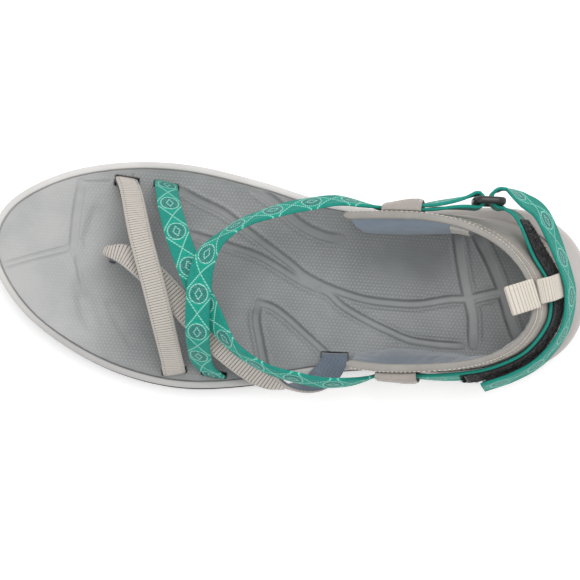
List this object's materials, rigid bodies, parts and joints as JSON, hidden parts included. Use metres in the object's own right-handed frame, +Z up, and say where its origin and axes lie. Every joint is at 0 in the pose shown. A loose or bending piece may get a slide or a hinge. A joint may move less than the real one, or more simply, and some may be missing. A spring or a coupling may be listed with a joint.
{
  "type": "strappy sport sandal",
  "caption": "Left-foot sport sandal with a moulded footbed, crossed webbing over the instep, a toe loop and an adjustable ringed heel strap with pull tab.",
  "frame": {"origin": "middle of the sandal's bounding box, on the ground under the tread lugs", "axes": "+X from toe to heel, +Y to the medial (big toe) side, +Z up"},
  "size_m": [0.2632, 0.099, 0.088],
  "materials": {
    "outsole_rubber": "moulded black rubber, fine matt texture",
    "midsole_foam": "moulded pale grey EVA foam, matt",
    "shank_nylon": "moulded nylon",
    "footbed_foam": "moulded grey EVA foam with a small bump pattern",
    "ribbed_ribbon": "ribbed ribbon with stitched edges",
    "dark_knit": "soft dark knit",
    "blue_grey_knit": "soft knit with a low sheen",
    "patterned_webbing": "fine woven webbing with a pale geometric pattern",
    "taupe_leather": "fine-grain synthetic leather",
    "stiffener_board": "moulded sheet",
    "padding_foam": "open foam",
    "grey_textile": "smooth textile lining",
    "edge_binding": "folded synthetic leather binding, stitched",
    "black_plastic": "satin moulded plastic",
    "closure_tape": "hook and loop tape",
    "tab_webbing": "ribbed tab webbing"
  },
  "bodies": {
    "sandal": {"outsole": "outsole_rubber", "midsole": "midsole_foam", "arch_shank": "shank_nylon", "footbed": "footbed_foam", "toe_strap": "ribbed_ribbon", "toe_strap_lining": "dark_knit", "toe_loop_strap": "ribbed_ribbon", "toe_loop_lining": "blue_grey_knit", "instep_strap_under": "patterned_webbing", "instep_strap_over": "patterned_webbing", "heel_counter_leather": "taupe_leather", "heel_stiffener": "stiffener_board", "counter_foam": "padding_foam", "heel_lining": "grey_textile", "medial_ankle_lining": "blue_grey_knit", "lateral_ankle_lining": "blue_grey_knit", "collar_binding": "edge_binding", "medial_side_panel": "taupe_leather", "lateral_side_panel": "taupe_leather", "ring_webbing_loop": "patterned_webbing", "heel_strap": "patterned_webbing", "loop_tape": "closure_tape", "strap_keeper": "tab_webbing"},
    "ring": {"closure_ring": "black_plastic", "strap_turn": "patterned_webbing"},
    "flap_root": {"closure_flap_root": "patterned_webbing"},
    "flap_middle": {"closure_flap_middle": "patterned_webbing"},
    "flap_tip": {"closure_flap_tip": "patterned_webbing", "hook_tape": "closure_tape"},
    "tab": {"pull_tab": "tab_webbing"}
  },
  "joints": [
    {"name": "ring_swing", "type": "hinge", "parent": "sandal", "child": "ring", "pos_m": [0.0776, 0.0406, 0.0585], "axis": [0, 0, 1], "range_deg": [0, 20]},
    {"name": "flap_open", "type": "hinge", "parent": "ring", "child": "flap_root", "pos_m": [0.09167, 0.04676, 0.05839], "axis": [-0.0818, -0.1107, 0.9905], "range_deg": [0, 40]},
    {"name": "flap_peel_middle", "type": "hinge", "parent": "flap_root", "child": "flap_middle", "pos_m": [0.11251, 0.02686, 0.05826], "axis": [-0.4056, -0.2272, 0.8854], "range_deg": [0, 40]},
    {"name": "flap_peel_tip", "type": "hinge", "parent": "flap_middle", "child": "flap_tip", "pos_m": [0.11496, -0.02018, 0.0562], "axis": [-0.2746, 0.0823, 0.958], "range_deg": [0, 40]},
    {"name": "pull_tab_swing", "type": "hinge", "parent": "sandal", "child": "tab", "pos_m": [0.10381, 0.00252, 0.08198], "axis": [-0.3746, 0.9272, 0], "range_deg": [0, 95], "stiffness_Nm_per_rad": 0.01}
  ],
  "couplings": [
    {"joint": "flap_peel_tip", "follows": "flap_peel_middle", "ratio": 1}
  ]
}
